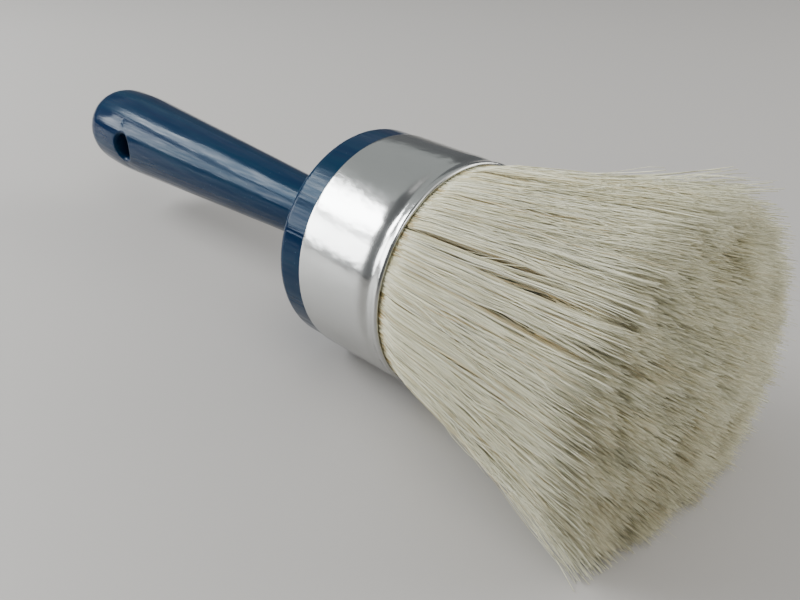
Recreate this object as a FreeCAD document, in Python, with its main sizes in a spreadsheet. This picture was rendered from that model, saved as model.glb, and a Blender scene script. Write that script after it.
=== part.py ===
import FreeCAD, Part
import math
import os

from FreeCAD import Placement, Rotation, Vector
from Sketcher import Constraint

# A round bristle brush lying on its side.  +Z is up and the brush rests on Z = 0.
# Its axis runs along X: the bristles point to +X and the handle's butt to -X.
# The "mouth" is the open end of the ferrule, where the bristles leave it.  Sizes along
# the axis start there: a depth runs towards the butt, a reach towards the bristle tips.

DIMENSIONS = {
    # the ferrule: a drawn steel ring with a groove and a bead rolled at its mouth
    "ferrule_radius": 25.0,
    "ferrule_wall": 0.5,
    "ferrule_length": 23.7,
    "bead_radius": 0.6,
    "groove_radius": 3.2,
    "groove_sink": 0.55,
    "groove_depth": 3.0,
    # the nails that hold the ferrule on the tenon, each driven into a dent of the ring
    "nail_depth": 12.5,
    "nail_turn": 58.0,
    "nail_shank_radius": 0.8,
    "nail_length": 9.0,
    "nail_head_radius": 1.7,
    "nail_head_height": 1.0,
    "dent_radius": 9.0,
    "dent_sink": 1.5,
    # the handle: one turned piece with its tenon, collar, neck, grip and hanging hole
    "tenon_clearance": 0.02,
    "tenon_depth": 9.5,
    "collar_inset": 0.2,
    "collar_length": 7.7,
    "collar_edge": 2.0,
    "neck_radius": 6.4,
    "neck_fillet": 5.0,
    "swell_radius": 11.45,
    "swell_depth": 131.7,
    "swell_arch": 115.0,
    "butt_inset": 0.25,
    "hole_radius": 3.5,
    "hole_depth": 124.0,
    "hole_edge": 0.9,
    # the core plug in the middle of the bristle roots
    "core_radius": 9.0,
    "core_reach": 4.5,
    "core_bevel": 1.0,
    # the resin that holds the roots, from the tenon almost to the mouth
    "resin_front": 5.2,
    # the bundle of bristles
    "bundle_gap": 0.25,
    "bundle_reach": 56.0,
    "tip_flare": 8.85,
    "tip_arch": 120.0,
    "tip_edge": 5.0,
}

ORIGIN = -1  # the sketch's own origin and horizontal axis, in its constraints
START, END, CENTRE = 1, 2, 3
UP = Vector(0, 0, 1)

# expressions that more than one piece uses
INNER_RADIUS = "(dims.ferrule_radius - dims.ferrule_wall)"
BUTT_RADIUS = "(dims.swell_radius - dims.butt_inset)"
BUTT_CENTRE = (
    "(dims.swell_depth + sqrt((dims.swell_arch - %s)^2"
    " - (dims.swell_arch - dims.swell_radius)^2))" % BUTT_RADIUS
)
MOUTH_X = "((%s + %s - dims.bundle_reach) / 2)" % (BUTT_CENTRE, BUTT_RADIUS)
DENT_CENTRE = "(dims.ferrule_radius - dims.dent_sink + dims.dent_radius)"
NAIL_SEAT = "(dims.ferrule_radius - dims.dent_sink)"
MOUTH_RADIUS = "(dims.ferrule_radius - 2 * dims.bead_radius - dims.bundle_gap)"
TIP_RADIUS = "(%s + dims.tip_flare)" % MOUTH_RADIUS


# ---------------------------------------------------------------- document helpers

def make_sheet(doc):
    """Put the driving dimensions into a spreadsheet, one named cell each."""
    sheet = doc.addObject("Spreadsheet::Sheet", "dims")
    for row, (name, value) in enumerate(DIMENSIONS.items(), start=1):
        sheet.set("A%d" % row, name)
        sheet.set("B%d" % row, str(value))
        sheet.setAlias("B%d" % row, name)
    doc.recompute()
    return sheet


def bind(obj, **expressions):
    """Tie properties of an object to expressions of the sheet."""
    for name, expression in expressions.items():
        obj.setExpression(name.replace("__", "."), expression)


def place(obj, depth="0", turn=Rotation(), side="0", rise="0"):
    """Place an object by its depth from the mouth, and its side and rise from the axis."""
    obj.Placement = Placement(Vector(), turn)
    bind(
        obj,
        Placement__Base__x="%s - (%s)" % (MOUTH_X, depth),
        Placement__Base__y=side,
        Placement__Base__z="dims.ferrule_radius + (%s)" % rise,
    )


def towards_butt():
    """The turn that lays a shape's own Z along the axis, towards the butt."""
    return Rotation(Vector(0, 1, 0), -90)


def round_bar(doc, name, radius, near, far):
    """A cylinder about the brush's axis between two depths."""
    bar = doc.addObject("Part::Cylinder", name)
    bind(bar, Radius=radius, Height="(%s) - (%s)" % (far, near))
    place(bar, near, towards_butt())
    return bar


def ring(doc, name, major, minor, depth):
    """A torus about the brush's axis."""
    torus = doc.addObject("Part::Torus", name)
    bind(torus, Radius1=major, Radius2=minor)
    place(torus, depth, towards_butt())
    return torus


def fuse(doc, name, shapes):
    """The union of several objects."""
    union = doc.addObject("Part::MultiFuse", name)
    union.Shapes = shapes
    return union


def cut(doc, name, base, tool):
    """One object with another taken away from it."""
    difference = doc.addObject("Part::Cut", name)
    difference.Base = base
    difference.Tool = tool
    return difference


def make_body(doc, name, turn):
    """A PartDesign body whose own origin is the centre of the mouth."""
    body = doc.addObject("PartDesign::Body", name)
    place(body, turn=turn)
    return body


def make_sketch(body, name):
    """A sketch on the upright plane through the axis, X along it and Y across it."""
    sketch = body.newObject("Sketcher::SketchObject", name)
    planes = [plane for plane in body.Origin.OriginFeatures if plane.Role == "XZ_Plane"]
    sketch.AttachmentSupport = (planes[0], [""])
    sketch.MapMode = "FlatFace"
    return sketch


def constrain(sketch, kind, *where, size=None):
    """Add one constraint, and tie its size to an expression if it has one."""
    if size is None:
        sketch.addConstraint(Constraint(kind, *where))
        return
    value = float(sketch.evalExpression(size))
    index = sketch.addConstraint(Constraint(kind, *where, value))
    sketch.setExpression("Constraints[%d]" % index, size)


def draw_lines(sketch, points):
    """Draw a chain of upright and level lines that join at their ends."""
    lines = []
    for first, second in zip(points, points[1:]):
        line = sketch.addGeometry(Part.LineSegment(Vector(*first, 0), Vector(*second, 0)))
        if lines:
            constrain(sketch, "Coincident", lines[-1], END, line, START)
        lines.append(line)
    return lines


def draw_arc(sketch, centre, radius, first, last):
    """Draw an arc, anticlockwise from the first point to the last."""
    angles = [math.atan2(y - centre[1], x - centre[0]) for x, y in (first, last)]
    circle = Part.Circle(Vector(*centre, 0), UP, radius)
    return sketch.addGeometry(Part.ArcOfCircle(circle, *angles))


def touch_point(outside, centre, radius):
    """Where a line from a point to its left touches the upper side of a circle."""
    reach = outside - centre
    angle = math.atan2(reach.y, reach.x) - math.acos(radius / reach.Length)
    return centre + Vector(math.cos(angle), math.sin(angle)) * radius


def revolve(body, sketch):
    """Turn a sketch's outline about the brush's axis."""
    turning = body.newObject("PartDesign::Revolution", body.Name + "_turning")
    turning.Profile = sketch
    turning.ReferenceAxis = (sketch, ["H_Axis"])
    turning.Angle = 360
    body.Document.recompute()
    return turning


def circle_edges(shape, depth, radius):
    """Names of the shape's circular edges at a depth that have about this radius."""
    names = []
    for number, edge in enumerate(shape.Edges, start=1):
        if edge.Degenerated or not isinstance(edge.Curve, Part.Circle):
            continue
        if abs(edge.Curve.Center.x - depth) > 0.01:
            continue
        if abs(edge.Curve.Radius - radius) < 0.01:
            names.append("Edge%d" % number)
    return names


def round_edges(body, base, name, edges, radius):
    """Round edges of a body's last feature."""
    fillet = body.newObject("PartDesign::Fillet", name)
    fillet.Base = (base, edges)
    bind(fillet, Radius=radius)
    body.Document.recompute()
    return fillet


# ---------------------------------------------------------------- the handle

def grip_points(size):
    """The centres of the grip's swell and round butt, and where the outline joins them."""
    swell = Vector(size["swell_depth"], size["swell_radius"] - size["swell_arch"])
    butt_radius = size["swell_radius"] - size["butt_inset"]
    run = math.sqrt((size["swell_arch"] - butt_radius) ** 2 - swell.y ** 2)
    butt = Vector(swell.x + run, 0)
    joint = swell + (butt - swell).normalize() * size["swell_arch"]
    neck = Vector(size["ferrule_length"] + size["collar_length"], size["neck_radius"])
    start = touch_point(neck, swell, size["swell_arch"])
    return swell, butt, butt_radius, start, joint


def handle_outline(body, size):
    """Half the handle's outline: tenon, seat, collar, taper, swell and butt."""
    swell, butt, butt_radius, start, joint = grip_points(size)
    tenon = size["ferrule_radius"] - size["ferrule_wall"] - size["tenon_clearance"]
    collar = size["ferrule_radius"] - size["collar_inset"]
    collar_back = size["ferrule_length"] + size["collar_length"]
    sketch = make_sketch(body, "handle_outline")
    front, side, seat, rim, back, taper = draw_lines(sketch, [
        (size["tenon_depth"], 0),
        (size["tenon_depth"], tenon),
        (size["ferrule_length"], tenon),
        (size["ferrule_length"], collar),
        (collar_back, collar),
        (collar_back, size["neck_radius"]),
        (start.x, start.y),
    ])
    for line in (front, seat, back):
        constrain(sketch, "Vertical", line)
    for line in (side, rim):
        constrain(sketch, "Horizontal", line)
    swell_arc = draw_arc(sketch, (swell.x, swell.y), size["swell_arch"],
                         (joint.x, joint.y), (start.x, start.y))
    butt_end = (butt.x + butt_radius, 0)
    butt_arc = draw_arc(sketch, (butt.x, 0), butt_radius, butt_end, (joint.x, joint.y))
    line = Part.LineSegment(Vector(*butt_end, 0), Vector(size["tenon_depth"], 0, 0))
    axis = sketch.addGeometry(line)
    constrain(sketch, "Tangent", taper, END, swell_arc, END)
    constrain(sketch, "Tangent", swell_arc, START, butt_arc, END)
    constrain(sketch, "Coincident", butt_arc, START, axis, START)
    constrain(sketch, "Coincident", axis, END, front, START)
    constrain(sketch, "PointOnObject", front, START, ORIGIN)
    constrain(sketch, "PointOnObject", butt_arc, START, ORIGIN)
    constrain(sketch, "PointOnObject", butt_arc, CENTRE, ORIGIN)
    constrain(sketch, "DistanceX", ORIGIN, 1, front, END, size="dims.tenon_depth")
    constrain(sketch, "DistanceY", ORIGIN, 1, front, END,
              size="%s - dims.tenon_clearance" % INNER_RADIUS)
    constrain(sketch, "DistanceX", ORIGIN, 1, seat, END, size="dims.ferrule_length")
    constrain(sketch, "DistanceY", ORIGIN, 1, seat, END,
              size="dims.ferrule_radius - dims.collar_inset")
    constrain(sketch, "DistanceX", ORIGIN, 1, back, END,
              size="dims.ferrule_length + dims.collar_length")
    constrain(sketch, "DistanceY", ORIGIN, 1, back, END, size="dims.neck_radius")
    constrain(sketch, "Radius", swell_arc, size="dims.swell_arch")
    constrain(sketch, "DistanceX", ORIGIN, 1, swell_arc, CENTRE, size="dims.swell_depth")
    constrain(sketch, "DistanceY", swell_arc, CENTRE, ORIGIN, 1,
              size="dims.swell_arch - dims.swell_radius")
    constrain(sketch, "Radius", butt_arc, size=BUTT_RADIUS)
    return sketch


def drill_hanging_hole(body, turned, size):
    """Drill the cross hole through the grip and round both its mouths."""
    sketch = make_sketch(body, "hole_outline")
    centre = Vector(size["hole_depth"], 0, 0)
    circle = sketch.addGeometry(Part.Circle(centre, UP, size["hole_radius"]))
    constrain(sketch, "PointOnObject", circle, CENTRE, ORIGIN)
    constrain(sketch, "DistanceX", ORIGIN, 1, circle, CENTRE, size="dims.hole_depth")
    constrain(sketch, "Radius", circle, size="dims.hole_radius")
    hole = body.newObject("PartDesign::Pocket", "hanging_hole")
    hole.Profile = sketch
    hole.SideType = "Symmetric"
    bind(hole, Length="4 * dims.swell_radius")
    body.Document.recompute()
    if hole.Shape.Volume >= turned.Shape.Volume:
        raise RuntimeError("the hanging hole cuts nothing")
    drilled = [face for face in hole.Shape.Faces
               if isinstance(face.Surface, Part.Cylinder) and abs(face.Surface.Axis.y) > 0.9]
    rims = [edge for face in drilled for edge in face.Edges
            if not edge.Degenerated and not isinstance(edge.Curve, Part.Line)]
    names = ["Edge%d" % number for number, edge in enumerate(hole.Shape.Edges, start=1)
             if any(edge.isSame(rim) for rim in rims)]
    return round_edges(body, hole, "hole_rounding", names, "dims.hole_edge")


def make_handle(doc, size, nails, dents):
    """The turned wooden handle, from the tenon inside the ferrule to the round butt."""
    body = make_body(doc, "handle_body", Rotation(UP, 180))
    turned = revolve(body, handle_outline(body, size))
    collar_back = size["ferrule_length"] + size["collar_length"]
    collar = size["ferrule_radius"] - size["collar_inset"]
    edge = circle_edges(turned.Shape, collar_back, collar)
    rounded = round_edges(body, turned, "collar_rounding", edge, "dims.collar_edge")
    edge = circle_edges(rounded.Shape, collar_back, size["neck_radius"])
    rounded = round_edges(body, rounded, "neck_rounding", edge, "dims.neck_fillet")
    body.Tip = drill_hanging_hole(body, rounded, size)
    recesses = fuse(doc, "tenon_recesses", dents + nails)
    return cut(doc, "handle", body, recesses)


# ---------------------------------------------------------------- ferrule and nails

NAIL_TURNS = {
    "near_nail": (Rotation(Vector(1, 0, 0), 1), "dims.nail_turn + 90", -1),
    "far_nail": (Rotation(Vector(-1, 0, 0), 1), "90 - dims.nail_turn", 1),
}


def make_dents(doc, kind, radius):
    """A ball for each nail, whose inner side is the dent in the ring or its underside."""
    balls = []
    for name, (_, _, side) in NAIL_TURNS.items():
        ball = doc.addObject("Part::Sphere", "%s_%s" % (name, kind))
        bind(ball, Radius=radius)
        out = "%d * %s" % (side, DENT_CENTRE)
        place(ball, "dims.nail_depth", side="%s * cos(dims.nail_turn * 1deg)" % out,
              rise="%s * sin(dims.nail_turn * 1deg)" % out)
        balls.append(ball)
    return balls


def make_nail(doc, name, turn, angle):
    """A nail with a low domed head, pointing at the axis from the bottom of its dent."""
    shank = doc.addObject("Part::Cylinder", name + "_shank")
    bind(shank, Radius="dims.nail_shank_radius", Height="dims.nail_length")
    bind(shank, Placement__Base__z="%s - dims.nail_length" % NAIL_SEAT)
    ball = "((dims.nail_head_radius^2 + dims.nail_head_height^2) / (2 * dims.nail_head_height))"
    head = doc.addObject("Part::Sphere", name + "_head")
    bind(
        head,
        Radius=ball,
        Angle1="asin((%s - dims.nail_head_height) / %s)" % (ball, ball),
        Placement__Base__z="%s + dims.nail_head_height - %s" % (NAIL_SEAT, ball),
    )
    nail = fuse(doc, name, [shank, head])
    place(nail, "dims.nail_depth", turn)
    bind(nail, Placement__Rotation__Angle=angle)
    return nail


def make_ferrule(doc, nails, dents, undersides):
    """The steel ring, with its rolled groove and bead and the dents round the nails."""
    outer = round_bar(doc, "ferrule_outer", "dims.ferrule_radius", "0", "dims.ferrule_length")
    inner = round_bar(doc, "ferrule_inner", INNER_RADIUS, "0", "dims.ferrule_length")
    tube = cut(doc, "ferrule_tube", outer, inner)
    major = "dims.ferrule_radius + dims.groove_radius - dims.groove_sink"
    groove = ring(doc, "groove", major, "dims.groove_radius", "dims.groove_depth")
    ridge = ring(doc, "groove_inside", major, "dims.groove_radius + dims.ferrule_wall",
                 "dims.groove_depth")
    pressed = doc.addObject("Part::MultiCommon", "ferrule_pressed")
    pressed.Shapes = [outer, fuse(doc, "ferrule_ridges", [ridge] + undersides)]
    shell = cut(doc, "ferrule_shell", fuse(doc, "ferrule_blank", [tube, pressed]),
                fuse(doc, "ferrule_hollows", [groove] + dents))
    bead = ring(doc, "bead", "dims.ferrule_radius - dims.bead_radius", "dims.bead_radius",
                "dims.bead_radius")
    return cut(doc, "ferrule", fuse(doc, "ferrule_rolled", [shell, bead]),
               fuse(doc, "ferrule_nail_holes", nails))


# ---------------------------------------------------------------- core, resin, bristles

def make_core(doc):
    """The wooden plug that the bristles are set round, bevelled at its front."""
    bar = round_bar(doc, "core_bar", "dims.core_radius", "dims.core_bevel - dims.core_reach",
                    "dims.tenon_depth")
    bevel = doc.addObject("Part::Cone", "core_bevel")
    bind(bevel, Radius1="dims.core_radius - dims.core_bevel", Radius2="dims.core_radius",
         Height="dims.core_bevel")
    place(bevel, "-dims.core_reach", towards_butt())
    return fuse(doc, "core_plug", [bar, bevel])


def make_resin(doc, core, undersides):
    """The set resin round the core, which the bristle roots stand in."""
    disc = round_bar(doc, "resin_disc", INNER_RADIUS, "dims.resin_front", "dims.tenon_depth")
    return cut(doc, "resin_setting", disc, fuse(doc, "resin_recesses", [core] + undersides))


def tip_points(size):
    """The centres of the tip's domed face and round edge, and where the outline joins them."""
    mouth = size["ferrule_radius"] - 2 * size["bead_radius"] - size["bundle_gap"]
    face = Vector(size["bundle_reach"] - size["tip_arch"], 0)
    rise = mouth + size["tip_flare"] - size["tip_edge"]
    run = math.sqrt((size["tip_arch"] - size["tip_edge"]) ** 2 - rise ** 2)
    edge = face + Vector(run, rise)
    joint = face + (edge - face).normalize() * size["tip_arch"]
    start = touch_point(Vector(0, mouth), edge, size["tip_edge"])
    return mouth, face, edge, start, joint


def bundle_outline(body, size):
    """Half the bundle's outline: roots inside the ferrule, flare and domed tip face."""
    mouth, face, edge, start, joint = tip_points(size)
    sketch = make_sketch(body, "bundle_outline")
    back, root, flare = draw_lines(sketch, [
        (-size["resin_front"], 0),
        (-size["resin_front"], mouth),
        (0, mouth),
        (start.x, start.y),
    ])
    edge_arc = draw_arc(sketch, (edge.x, edge.y), size["tip_edge"],
                        (joint.x, joint.y), (start.x, start.y))
    tip = (size["bundle_reach"], 0)
    face_arc = draw_arc(sketch, (face.x, 0), size["tip_arch"], tip, (joint.x, joint.y))
    line = Part.LineSegment(Vector(*tip, 0), Vector(-size["resin_front"], 0, 0))
    axis = sketch.addGeometry(line)
    constrain(sketch, "Vertical", back)
    constrain(sketch, "Horizontal", root)
    constrain(sketch, "Tangent", flare, END, edge_arc, END)
    constrain(sketch, "Tangent", edge_arc, START, face_arc, END)
    constrain(sketch, "Coincident", face_arc, START, axis, START)
    constrain(sketch, "Coincident", axis, END, back, START)
    constrain(sketch, "PointOnObject", back, START, ORIGIN)
    constrain(sketch, "PointOnObject", face_arc, START, ORIGIN)
    constrain(sketch, "PointOnObject", face_arc, CENTRE, ORIGIN)
    constrain(sketch, "DistanceX", back, START, ORIGIN, 1, size="dims.resin_front")
    constrain(sketch, "DistanceY", ORIGIN, 1, back, END, size=MOUTH_RADIUS)
    constrain(sketch, "DistanceX", back, END, root, END, size="dims.resin_front")
    constrain(sketch, "DistanceX", ORIGIN, 1, face_arc, START, size="dims.bundle_reach")
    constrain(sketch, "DistanceY", ORIGIN, 1, edge_arc, CENTRE,
              size="%s - dims.tip_edge" % TIP_RADIUS)
    constrain(sketch, "Radius", edge_arc, size="dims.tip_edge")
    constrain(sketch, "Radius", face_arc, size="dims.tip_arch")
    return sketch


def make_bundle(doc, size, core):
    """The bundle of bristles, flared to its tips and flat where it lies on the table."""
    body = make_body(doc, "bundle_body", Rotation())
    revolve(body, bundle_outline(body, size))
    table = doc.addObject("Part::Box", "table")
    bind(
        table,
        Length="2 * dims.bundle_reach",
        Width="4 * %s" % TIP_RADIUS,
        Height=TIP_RADIUS,
        Placement__Base__x="%s - dims.bundle_reach / 2" % MOUTH_X,
        Placement__Base__y="-2 * %s" % TIP_RADIUS,
        Placement__Base__z="-%s" % TIP_RADIUS,
    )
    return cut(doc, "bristle_bundle", body, fuse(doc, "bundle_hollows", [table, core]))


# ---------------------------------------------------------------- assembly and export

def build():
    """Make the document and return its pieces."""
    doc = FreeCAD.newDocument("round_brush")
    make_sheet(doc)
    size = DIMENSIONS
    nails = [make_nail(doc, name, turn, angle)
             for name, (turn, angle, _) in NAIL_TURNS.items()]
    dents = make_dents(doc, "dent", "dims.dent_radius")
    undersides = make_dents(doc, "underside", "dims.dent_radius + dims.ferrule_wall")
    pair = doc.addObject("Part::Compound", "ferrule_nails")
    pair.Links = nails
    core = make_core(doc)
    pieces = {
        "handle": make_handle(doc, size, nails, undersides),
        "ferrule": make_ferrule(doc, nails, dents, undersides),
        "ferrule_nails": pair,
        "core_plug": core,
        "resin_setting": make_resin(doc, core, undersides),
        "bristle_bundle": make_bundle(doc, size, core),
    }
    doc.recompute()
    return doc, pieces


def check(doc, pieces):
    """Stop if any object failed, or a piece has no sound shape."""
    for obj in doc.Objects:
        if "Invalid" in obj.State or "Error" in obj.State:
            raise RuntimeError("%s is %s" % (obj.Name, obj.State))
    for label, obj in pieces.items():
        if obj.Shape.isNull() or not obj.Shape.isValid() or not obj.Shape.Solids:
            raise RuntimeError("%s has no sound shape" % label)


def export(pieces):
    """Write each piece to its own file, named by its label."""
    os.makedirs("parts", exist_ok=True)
    for label, obj in pieces.items():
        obj.Label = label
        obj.Shape.exportStep("parts/%s.step" % label)
        box = obj.Shape.optimalBoundingBox(False)
        print("%-15s %d solid(s) %9.0f mm3  X %7.2f..%7.2f  Y %6.2f..%6.2f  Z %6.2f..%6.2f" % (
            label, len(obj.Shape.Solids), obj.Shape.Volume,
            box.XMin, box.XMax, box.YMin, box.YMax, box.ZMin, box.ZMax))


document, made = build()
check(document, made)
export(made)
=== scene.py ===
"""Round bristle brush: a turned handle in blue lacquer, a rolled steel ferrule and a flared
bundle of hog bristle, laid on a pale floor under soft light."""

import math

import bpy
import numpy as np
from bpy.props import FloatProperty, FloatVectorProperty, IntProperty, PointerProperty
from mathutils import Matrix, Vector


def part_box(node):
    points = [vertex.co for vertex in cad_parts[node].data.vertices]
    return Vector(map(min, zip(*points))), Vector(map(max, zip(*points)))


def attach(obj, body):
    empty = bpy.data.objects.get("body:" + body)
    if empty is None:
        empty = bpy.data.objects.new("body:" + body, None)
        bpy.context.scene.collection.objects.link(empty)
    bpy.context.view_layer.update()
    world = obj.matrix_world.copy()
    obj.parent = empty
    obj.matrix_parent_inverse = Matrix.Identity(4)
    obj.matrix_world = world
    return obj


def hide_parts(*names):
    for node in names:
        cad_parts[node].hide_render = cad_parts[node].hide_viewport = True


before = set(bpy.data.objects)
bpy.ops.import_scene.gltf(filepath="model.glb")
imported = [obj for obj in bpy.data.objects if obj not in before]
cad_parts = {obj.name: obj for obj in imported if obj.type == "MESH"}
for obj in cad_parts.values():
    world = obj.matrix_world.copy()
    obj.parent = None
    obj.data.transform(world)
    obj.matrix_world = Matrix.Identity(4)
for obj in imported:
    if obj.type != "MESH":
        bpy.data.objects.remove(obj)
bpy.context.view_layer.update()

bl_info = {
    "name": "Round bristle brush",
    "version": (1, 0, 0),
    "blender": (4, 5, 0),
    "location": "3D View > Sidebar > Brush",
    "description": "Finishes a round bristle brush: lacquer, steel, bristles and a plain studio",
    "category": "Object",
}

MM = 0.001
BODY = "root"

FERRULE_LOW, FERRULE_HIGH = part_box("ferrule")
BUNDLE_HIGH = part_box("bristle_bundle")[1]
AXIS_HEIGHT = (FERRULE_LOW.z + FERRULE_HIGH.z) / 2
FERRULE_RADIUS = FERRULE_HIGH.y
BACK_X = FERRULE_LOW.x
MOUTH_X = FERRULE_HIGH.x
TIP_X = BUNDLE_HIGH.x
TIP_RADIUS = BUNDLE_HIGH.y
WORN_EDGE_X = BACK_X - 7.2 * MM  # beside the collar's back edge
WINDOW_LOW_SHARE = 0.72  # power of the lower pane next to the upper one's


# ---------------------------------------------------------------- sizes and colours


class BundleSettings(bpy.types.PropertyGroup):
    """Sizes and colours of the bristles."""

    mouth_gap: FloatProperty(
        name="Mouth gap", description="From the ferrule's outside to the outermost bristles",
        default=1.30 * MM, unit="LENGTH")
    mouth_swell: FloatProperty(
        name="Mouth swell", description="How far the bristles swell once they are past the bead",
        default=0.75 * MM, unit="LENGTH")
    thickness: FloatProperty(
        name="Bristle thickness", description="Radius of a thick bristle at its root",
        default=0.125 * MM, unit="LENGTH")
    outer_count: IntProperty(
        name="Outer bristles", description="Long bristles in each outer layer piece", default=3300)
    outer_pieces: IntProperty(
        name="Outer pieces", description="How many pieces the outer layer is split into", default=4)
    inner_count: IntProperty(
        name="Inner bristles", description="Long bristles below the outer layer", default=4800)
    face_count: IntProperty(
        name="Face bristles", description="Bristle ends in each piece of the trimmed face",
        default=8000)
    face_pieces: IntProperty(
        name="Face pieces", description="How many pieces the trimmed face is split into", default=3)
    flag_count: IntProperty(
        name="Flags", description="Fine split hairs at the ends of the bristles", default=22000)
    loose_count: IntProperty(
        name="Loose bristles", description="Wayward bristles that lie over the others",
        default=2600)
    lock_count: IntProperty(
        name="Locks", description="How many locks the bristles gather in", default=520)
    gap_count: IntProperty(
        name="Small gaps", description="Short gaps between locks", default=110)
    pale: FloatVectorProperty(
        name="Pale bristle", description="Colour of the palest bristles", subtype="COLOR",
        default=(0.85, 0.835, 0.64))
    cream: FloatVectorProperty(
        name="Cream bristle", description="Colour of most bristles", subtype="COLOR",
        default=(0.66, 0.62, 0.38))
    tan: FloatVectorProperty(
        name="Tan bristle", description="Colour of the warm bristles", subtype="COLOR",
        default=(0.52, 0.37, 0.15))
    olive: FloatVectorProperty(
        name="Olive bristle", description="Colour of the darkest bristles", subtype="COLOR",
        default=(0.19, 0.16, 0.05))


class HandleSettings(bpy.types.PropertyGroup):
    """Colours and finish of the lacquered handle."""

    lacquer: FloatVectorProperty(
        name="Lacquer", description="Colour of the lacquer where it lies thick", subtype="COLOR",
        default=(0.0012, 0.0085, 0.036))
    thin_lacquer: FloatVectorProperty(
        name="Thin lacquer", description="Colour of the lacquer where it lies thin",
        subtype="COLOR", default=(0.004, 0.024, 0.050))
    worn: FloatVectorProperty(
        name="Worn edge", description="Colour of a rubbed edge", subtype="COLOR",
        default=(0.06, 0.11, 0.17))


class FerruleSettings(bpy.types.PropertyGroup):
    """Colours and finish of the metal."""

    steel: FloatVectorProperty(
        name="Steel", description="Colour of the plated ring", subtype="COLOR",
        default=(0.49, 0.495, 0.48))
    nail: FloatVectorProperty(
        name="Nail", description="Colour of the nails", subtype="COLOR",
        default=(0.62, 0.58, 0.56))


class StageSettings(bpy.types.PropertyGroup):
    """Camera, floor and light."""

    lens: FloatProperty(
        name="Lens", description="Focal length", default=39.6, subtype="NONE")
    camera_from_mouth: FloatVectorProperty(
        name="Camera place", description="Camera position from the middle of the ferrule's mouth",
        subtype="TRANSLATION", default=(0.1076, -0.1222, 0.08605))
    camera_azimuth: FloatProperty(
        name="Camera azimuth", description="Turn of the camera round the upright axis",
        default=math.radians(46.07), subtype="ANGLE")
    camera_elevation: FloatProperty(
        name="Camera elevation", description="How far the camera looks down",
        default=math.radians(29.28), subtype="ANGLE")
    floor: FloatVectorProperty(
        name="Floor", description="Colour of the floor", subtype="COLOR",
        default=(0.42, 0.405, 0.385))
    window_power: FloatProperty(
        name="Window light", description="Power of the upper window pane in watts", default=6.5)
    top_power: FloatProperty(
        name="Top light", description="Power of the overhead light in watts", default=2.6)
    back_power: FloatProperty(
        name="Back light", description="Power of the light behind the brush in watts", default=4.5)
    wall_power: FloatProperty(
        name="Wall light", description="Power of the dim light behind the handle in watts",
        default=0.75)
    tip_power: FloatProperty(
        name="Tip light", description="Power of the light on the trimmed face in watts",
        default=3.4)
    room: FloatProperty(
        name="Room light", description="Strength of the even light of the room", default=0.20)


# ---------------------------------------------------------------- helpers


def clear_selection():
    """Leaves edit mode with nothing selected."""
    if bpy.context.object and bpy.context.object.mode != "OBJECT":
        bpy.ops.object.mode_set(mode="OBJECT")
    bpy.ops.object.select_all(action="DESELECT")


def finish_piece(piece, material, slot, *replaced):
    """Gives a piece its material and body, and hides what it stands for. The slot is not used."""
    piece.data.materials.clear()
    piece.data.materials.append(material)
    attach(piece, BODY)
    if replaced:
        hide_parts(*replaced)


def dress_node(name, material):
    """Gives a CAD node its finish."""
    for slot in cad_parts[name].material_slots:
        slot.material = material


def add_node(tree, kind, **values):
    """Adds a shader node; a value goes to the socket of that name, or else to the setting."""
    node = tree.nodes.new(kind)
    for key, value in values.items():
        socket = node.inputs.get(key.replace("_", " "))
        if socket is None:
            setattr(node, key, value)
        else:
            socket.default_value = value
    return node


def new_material(name, **values):
    """A material with one Principled shader. Returns it, its tree and the shader."""
    material = bpy.data.materials.new(name)
    material.use_nodes = True
    tree = material.node_tree
    shader = tree.nodes["Principled BSDF"]
    for key, value in values.items():
        shader.inputs[key.replace("_", " ")].default_value = value
    return material, tree, shader


def new_group(name, inputs, outputs):
    """An empty shader group with the named float inputs, and outputs given by type."""
    group = bpy.data.node_groups.new(name, "ShaderNodeTree")
    for label, value in inputs.items():
        socket = group.interface.new_socket(label, in_out="INPUT", socket_type="NodeSocketFloat")
        socket.default_value = value
    for label, kind in outputs.items():
        group.interface.new_socket(label, in_out="OUTPUT", socket_type=kind)
    return group, group.nodes.new("NodeGroupInput"), group.nodes.new("NodeGroupOutput")


def use_group(tree, group, **values):
    """Places a shader group in a tree with its own values."""
    node = tree.nodes.new("ShaderNodeGroup")
    node.node_tree = group
    for key, value in values.items():
        node.inputs[key.replace("_", " ")].default_value = value
    return node


def ramp(tree, source, stops):
    """A colour ramp over a value, from (place, colour) stops."""
    node = tree.nodes.new("ShaderNodeValToRGB")
    elements = node.color_ramp.elements
    for place, colour in stops[1:-1]:
        elements.new(place).color = (*colour, 1.0)
    elements[0].position, elements[0].color = stops[0][0], (*stops[0][1], 1.0)
    elements[-1].position, elements[-1].color = stops[-1][0], (*stops[-1][1], 1.0)
    tree.links.new(source, node.inputs[0])
    return node.outputs[0]


def grey(value):
    """A grey as a colour."""
    return (value, value, value)


def mix_colours(tree, factor, first, second):
    """Mixes two colours, each a socket or an RGB value, by a mask."""
    node = tree.nodes.new("ShaderNodeMix")
    node.data_type = "RGBA"
    if isinstance(factor, bpy.types.NodeSocket):
        tree.links.new(factor, node.inputs["Factor"])
    else:
        node.inputs["Factor"].default_value = factor
    for socket, value in ((node.inputs[6], first), (node.inputs[7], second)):
        if isinstance(value, bpy.types.NodeSocket):
            tree.links.new(value, socket)
        else:
            socket.default_value = (*value, 1.0)
    return node.outputs[2]


def maths(tree, operation, first, second=0.0):
    """One Math node over sockets or numbers."""
    node = tree.nodes.new("ShaderNodeMath")
    node.operation = operation
    for socket, value in zip(node.inputs, (first, second)):
        if isinstance(value, bpy.types.NodeSocket):
            tree.links.new(value, socket)
        else:
            socket.default_value = value
    return node.outputs[0]


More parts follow.
